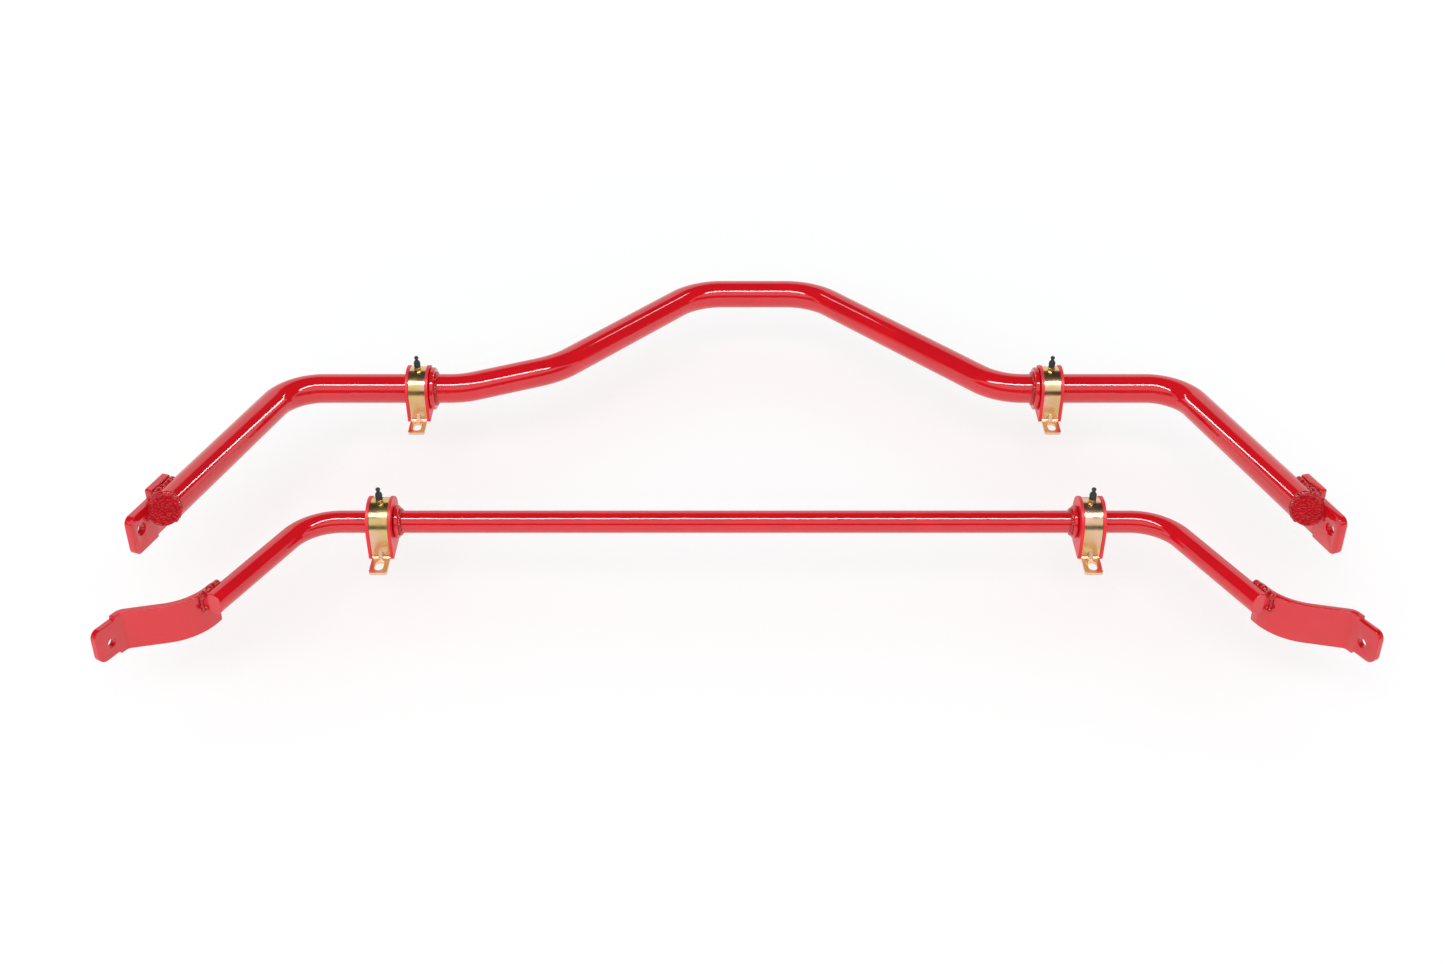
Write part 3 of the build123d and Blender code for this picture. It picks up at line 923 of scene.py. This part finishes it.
class SWAY_OT_bushings(bpy.types.Operator):
    """Mould the four grooved bushings"""
    bl_idname = "sway.bushings"
    bl_label = "Bushings"

    def execute(self, context):
        size = context.scene.sway_mounts
        bars = context.scene.sway_bars
        for prefix, bar in (("front", bars.front_radius), ("rear", bars.rear_radius)):
            made = self.mould(size, bar + 0.05 * MM)
            for side in ("left", "right"):
                node = f"{prefix}_{side}_bushing"
                set_over(made, node, AXIS_HEIGHT, node, urethane())
            bpy.data.objects.remove(made)
        return {"FINISHED"}

    def mould(self, size, bore):
        """Half a bushing with its flange and crown, then its mirror image."""
        half, shoulder = 12.2 * MM, 9.0 * MM
        cheek = 21.6 * MM                         # just outside the crown
        obj = primitive("circle", vertices=112, radius=size.flange_radius,
                        location=(-half, 0, 0), rotation=ALONG_X)
        edit(obj)
        pick(lambda c: c.z < -0.01 * MM)
        bpy.ops.mesh.delete(type="VERT")
        pick(lambda c: abs(c.z) < 0.01 * MM)
        pull((0, 0, -AXIS_HEIGHT))
        pick(lambda c: c.z < -27 * MM)
        bpy.ops.mesh.edge_face_add()
        round_corners(lambda c: c.z < -27 * MM, 2.6, 3)
        pick_all()
        pull((half - shoulder, 0, 0))
        pull((0, 0, 0))
        ratio = size.crown_radius / size.flange_radius
        scale((1, ratio, ratio), (-shoulder, 0, 0))
        pick(lambda c: c.x > -shoulder - 0.1 * MM and c.z < -5 * MM and abs(c.y) < cheek)
        shift((0, 0, -AXIS_HEIGHT * (1 - ratio)))
        pick(lambda c: c.x > -shoulder - 0.1 * MM and abs(c.y) < cheek
             and (Vector((0, c.y, c.z)).length < cheek or c.z < 0))
        pull((shoulder, 0, 0))
        mouth = bore + 0.7 * MM
        primitive("circle", vertices=96, radius=mouth, location=(-half, 0, 0),
                  rotation=ALONG_X)
        self.bore(half, bore, mouth)
        pick(lambda c: c.x < -half + 0.05 * MM)
        bpy.ops.mesh.fill(use_beauty=True)
        modify(obj, "MIRROR", use_axis=(True, False, False), use_clip=True,
               merge_threshold=0.01 * MM)
        edit(obj)
        close_up()
        soft_edges(obj, 0.7 * MM)
        return obj

    def bore(self, half, bore, mouth):
        """Walls of the bore with lengthwise grease grooves and one round groove."""
        pull((0.8 * MM, 0, 0))
        scale((1, bore / mouth, bore / mouth), (-half, 0, 0))
        for reach in (3.2, 0.6, 6.0, 0.5):
            pull((reach * MM, 0, 0))
        wide = (bore + 1.0 * MM) / bore
        scale((1, wide, wide), (0, 0, 0))
        pull((1.1 * MM, 0, 0))
        for k in range(8):
            angle = math.radians(45 * k + 22.5)
            ray = Vector((0, math.cos(angle), math.sin(angle)))
            pick(lambda c: -7.7 * MM < c.x < -1.2 * MM
                 and bore * 0.98 < Vector((0, c.y, c.z)).length < bore * 1.02
                 and Vector((0, c.y, c.z)).normalized().dot(ray) > math.cos(math.radians(4.5)))
            scale((1, wide, wide), (0, 0, 0))


class SWAY_OT_straps(bpy.types.Operator):
    """Form the four slotted straps"""
    bl_idname = "sway.straps"
    bl_label = "Straps"

    def execute(self, context):
        size = context.scene.sway_mounts
        thick, width = size.strap_thickness, size.strap_width
        arch = size.crown_radius + thick / 2
        bend = 4.0 * MM
        foot_z = thick / 2 - AXIS_HEIGHT
        reach, turn_y, turn_z = FOOT_REACH * MM, arch + bend, foot_z + bend
        strap = primitive("plane", span((0, -(reach + turn_y) / 2, foot_z),
                                        (width, reach - turn_y, 1)), size=1.0)
        edit(strap)
        pick(lambda c: c.y > -turn_y - 0.01 * MM)
        sweep_round((0, -turn_y, turn_z), math.pi / 2, X_AXIS, 8)
        pull((0, 0, -turn_z))
        sweep_round((0, 0, 0), -math.pi, X_AXIS, 64)
        pull((0, 0, turn_z))
        sweep_round((0, turn_y, turn_z), math.pi / 2, X_AXIS, 8)
        pull((0, reach - turn_y, 0))
        round_corners(lambda c: abs(c.y) > reach - 0.01 * MM, 2.4, 6)
        close_up()
        modify(strap, "SOLIDIFY", thickness=thick, offset=0, use_even_offset=True)
        for side in (-1, 1):
            slot_y = side * SLOT_Y * MM
            slot = primitive("cylinder", vertices=48, radius=size.slot_width / 2,
                             depth=20 * MM, location=(0, slot_y, foot_z))
            edit(slot)
            for end in (-1, 1):
                pick(lambda c: (c.y - slot_y) * end > 0.01 * MM)
                shift((0, end * (size.slot_length - size.slot_width) / 2, 0))
            cut(strap, slot)
            rib = primitive("cube", span((0, side * (arch + 3.6 * MM), foot_z + 5 * MM),
                                         (4.6 * MM, 7 * MM, 9 * MM)), size=1.0)
            edit(rib)
            pick(lambda c: abs(c.y) > arch + 5 * MM and c.z > foot_z + 6 * MM)
            shift((0, -side * 5.6 * MM, 0))
            bevel(rib, 1.2 * MM, 4, 30)
            cut(strap, rib, "UNION")
        soft_edges(strap, 0.35 * MM, 2)
        for station in STATIONS:
            node = f"{station}_strap"
            set_over(strap, node, AXIS_HEIGHT, node, yellow_zinc())
        bpy.data.objects.remove(strap)
        return {"FINISHED"}


class SWAY_OT_fittings(bpy.types.Operator):
    """Turn the grease fittings and mould their dust caps"""
    bl_idname = "sway.fittings"
    bl_label = "Grease Fittings"

    def execute(self, context):
        size = context.scene.sway_mounts
        crown = size.crown_radius + size.strap_thickness + AXIS_HEIGHT
        fitting = turned(FITTING, 40)
        hexagon = primitive("cylinder", vertices=6, radius=4.04 * MM, depth=3.0 * MM,
                            location=(0, 0, 1.5 * MM))
        bevel(hexagon, 0.45 * MM, 3, 50)
        cut(fitting, hexagon, "UNION")
        soft_edges(fitting, 0.12 * MM, 2)
        cap = turned(DUST_CAP, 56)
        smooth(cap, 50)
        for station in STATIONS:
            seat = f"{station}_strap"
            set_over(fitting, seat, crown, f"{station}_grease_fitting",
                     fitting_zinc())
            set_over(cap, seat, crown, f"{station}_dust_cap", black_rubber())
            for inner in ("check_ball", "check_spring"):
                for holder in frame["nodes"][f"{station}_{inner}"].material_slots:
                    holder.material = spring_steel()
        bpy.data.objects.remove(fitting)
        bpy.data.objects.remove(cap)
        return {"FINISHED"}


# ---------------------------------------------------------------- the stage
class SWAY_OT_stage(bpy.types.Operator):
    """Lay the floor and set the lights and the camera"""
    bl_idname = "sway.stage"
    bl_label = "Stage"

    def execute(self, context):
        stage = context.scene.sway_stage
        self.floor(stage)
        self.room(stage)
        self.lights(stage)
        bpy.ops.object.camera_add(location=stage.eye,
                                  rotation=(math.pi / 2 - stage.pitch, 0, 0))
        camera = context.object
        camera.name = "camera"
        camera.data.lens = stage.lens
        camera.data.sensor_width = 36.0
        context.scene.camera = camera
        context.scene.view_settings.view_transform = "Standard"
        return {"FINISHED"}

    def floor(self, stage):
        """A large pale floor that glows a little, more so far from the middle."""
        floor = primitive("plane", size=80.0, location=(0, 0, -stage.floor_drop))
        floor.name = "studio_floor"
        material = bpy.data.materials.new("studio_floor")
        material.use_nodes = True
        tree = material.node_tree
        shader = tree.nodes["Principled BSDF"]
        shader.inputs["Roughness"].default_value = 0.9
        shader.inputs["Specular IOR Level"].default_value = 0.1
        shader.inputs["Emission Strength"].default_value = 1.0
        place = add(tree, "ShaderNodeTexCoord", (-800, 0))
        tone = add(tree, "ShaderNodeGroup", (-400, 0), node_tree=tone_drift())
        tone.inputs["Scale"].default_value = 1.5
        for label, factor in (("Main", 1.0), ("Second", 0.995), ("Third", 1.003)):
            tone.inputs[label].default_value = rgba(colours().floor, factor)
        join(tree, place.outputs["Object"], tone.inputs["Vector"])
        join(tree, tone.outputs["Color"], shader.inputs["Base Color"])
        away = add(tree, "ShaderNodeVectorMath", (-600, -300), operation="LENGTH")
        join(tree, place.outputs["Object"], away.inputs[0])
        glow = ramp(tree, away.outputs["Value"], (-400, -300), From_Min=0.5, From_Max=2.4,
                    To_Min=stage.floor_glow, To_Max=stage.floor_glow + 0.13)
        join(tree, glow, shader.inputs["Emission Color"])
        floor.data.materials.append(material)

    def room(self, stage):
        """A white room with a dark ceiling and a dark gap at the front."""
        world = bpy.data.worlds.new("studio_room")
        bpy.context.scene.world = world
        world.use_nodes = True
        tree = world.node_tree
        tree.nodes.clear()
        ray = add(tree, "ShaderNodeTexCoord", (-1200, 0))
        parts = add(tree, "ShaderNodeSeparateXYZ", (-1000, 0))
        join(tree, ray.outputs["Generated"], parts.inputs[0])
        x, y, z = parts.outputs

        def band(source, low, high, place):
            return ramp(tree, source, place, interpolation_type="SMOOTHSTEP",
                        From_Min=low, From_Max=high)

        def combine(kind, a, b, place):
            node = add(tree, "ShaderNodeMath", place, operation=kind)
            join(tree, a, node.inputs[0])
            join(tree, b, node.inputs[1])
            return node.outputs[0]

        slope = combine("DIVIDE", y, combine("MAXIMUM", z, 0.01, (-900, 500)), (-850, 500))
        aside = combine("ABSOLUTE", x, 0.0, (-900, 900))
        lean = combine("SUBTRACT", slope, combine("MULTIPLY", aside, 0.6, (-800, 900)),
                       (-750, 900))
        rise = combine("ADD", z, combine("MULTIPLY", aside, 0.45, (-800, 1000)), (-750, 1000))
        back = band(lean, 1.05, 0.85, (-700, 500))
        high = band(rise, 0.42, 0.52, (-700, 300))
        level = combine("GREATER_THAN", slope, -0.75, (-700, 700))
        ceiling = combine("MULTIPLY", combine("MULTIPLY", back, high, (-550, 400)), level,
                          (-500, 500))
        gap = combine("MULTIPLY", band(y, -0.15, -0.45, (-800, 0)),
                      band(z, 0.38, 0.30, (-800, -300)), (-600, 0))
        walls, front = (
            combine("SUBTRACT", 1.0, combine("MULTIPLY", part, share, (-500, up)), (-400, up))
            for part, share, up in ((ceiling, 0.95, 300), (gap, 0.92, -50)))
        light = combine("MULTIPLY", combine("MULTIPLY", walls, front, (-200, 200)),
                        stage.room_light, (0, 0))
        seen = add(tree, "ShaderNodeLightPath", (-200, -400)).outputs
        gloss = mix(tree, (100, 0), seen["Is Glossy Ray"], stage.soft_light, light, "FLOAT")
        plain = mix(tree, (230, 0), seen["Is Camera Ray"], gloss, 1.0, "FLOAT")
        background = add(tree, "ShaderNodeBackground", (350, 0))
        join(tree, plain, background.inputs["Strength"])
        result = add(tree, "ShaderNodeOutputWorld", (550, 0))
        join(tree, background.outputs[0], result.inputs["Surface"])
        background.inputs["Color"].default_value = (1, 1, 1, 1)

    def lights(self, stage):
        """A strip overhead, a faint one at each side and a large key light."""
        side_power = stage.strip_power * 0.01
        side_size = (0.07, 0.55)
        for name, spot, aim, size, power, spread, gloss in (
                ("strip_light", (0.0, -0.72, 1.50), (0, 0, 0), (2.2, 0.20),
                 stage.strip_power, 180, True),
                ("right_strip", (0.57, 0.70, 0.67), (-0.53, -0.05, 0.04), side_size,
                 side_power, 70, True),
                ("left_strip", (-0.57, 0.70, 0.67), (0.53, -0.05, 0.04), side_size,
                 side_power, 70, True),
                ("key_light", (-0.8, -4.4, 4.2), (0, 0, 0), (4.2, 4.2),
                 stage.key_power, 180, False)):
            bpy.ops.object.light_add(type="AREA", location=spot)
            lamp = bpy.context.object
            lamp.name = name
            lamp.rotation_euler = (Vector(aim) - Vector(spot)).to_track_quat(
                "-Z", "Y").to_euler()
            lamp.data.shape = "RECTANGLE"
            lamp.data.size, lamp.data.size_y = size
            lamp.data.energy = power
            lamp.data.spread = math.radians(spread)
            lamp.visible_camera = False
            lamp.visible_diffuse = not gloss
            lamp.visible_glossy = gloss


class SWAY_PT_panel(bpy.types.Panel):
    """Steps and settings of the sway bar set"""
    bl_idname = "SWAY_PT_panel"
    bl_label = "Sway Bar Set"
    bl_space_type = "VIEW_3D"
    bl_region_type = "UI"
    bl_category = "Sway Bars"

    def draw(self, context):
        for step in STEPS:
            self.layout.operator(step.bl_idname)
        for settings in SETTINGS:
            box = self.layout.box()
            group = getattr(context.scene, settings)
            for name in group.__annotations__:
                box.prop(group, name)


STEPS = (SWAY_OT_front_tube, SWAY_OT_front_ends, SWAY_OT_rear_rod, SWAY_OT_rear_arms,
         SWAY_OT_rings, SWAY_OT_bushings, SWAY_OT_straps, SWAY_OT_fittings, SWAY_OT_stage)
SETTINGS = {"sway_bars": BarSizes, "sway_mounts": MountSizes, "sway_finishes": Finishes,
            "sway_stage": StageSettings}
CLASSES = (*SETTINGS.values(), *STEPS, SWAY_PT_panel)


def register():
    for item in CLASSES:
        bpy.utils.register_class(item)
    for name, group in SETTINGS.items():
        setattr(bpy.types.Scene, name, PointerProperty(type=group))


def unregister():
    for name in SETTINGS:
        delattr(bpy.types.Scene, name)
    for item in reversed(CLASSES):
        bpy.utils.unregister_class(item)


def main():
    register()
    bpy.ops.object.select_all(action="DESELECT")
    for step in STEPS:
        area, name = step.bl_idname.split(".")
        getattr(getattr(bpy.ops, area), name)()


if __name__ == "__main__":
    main()
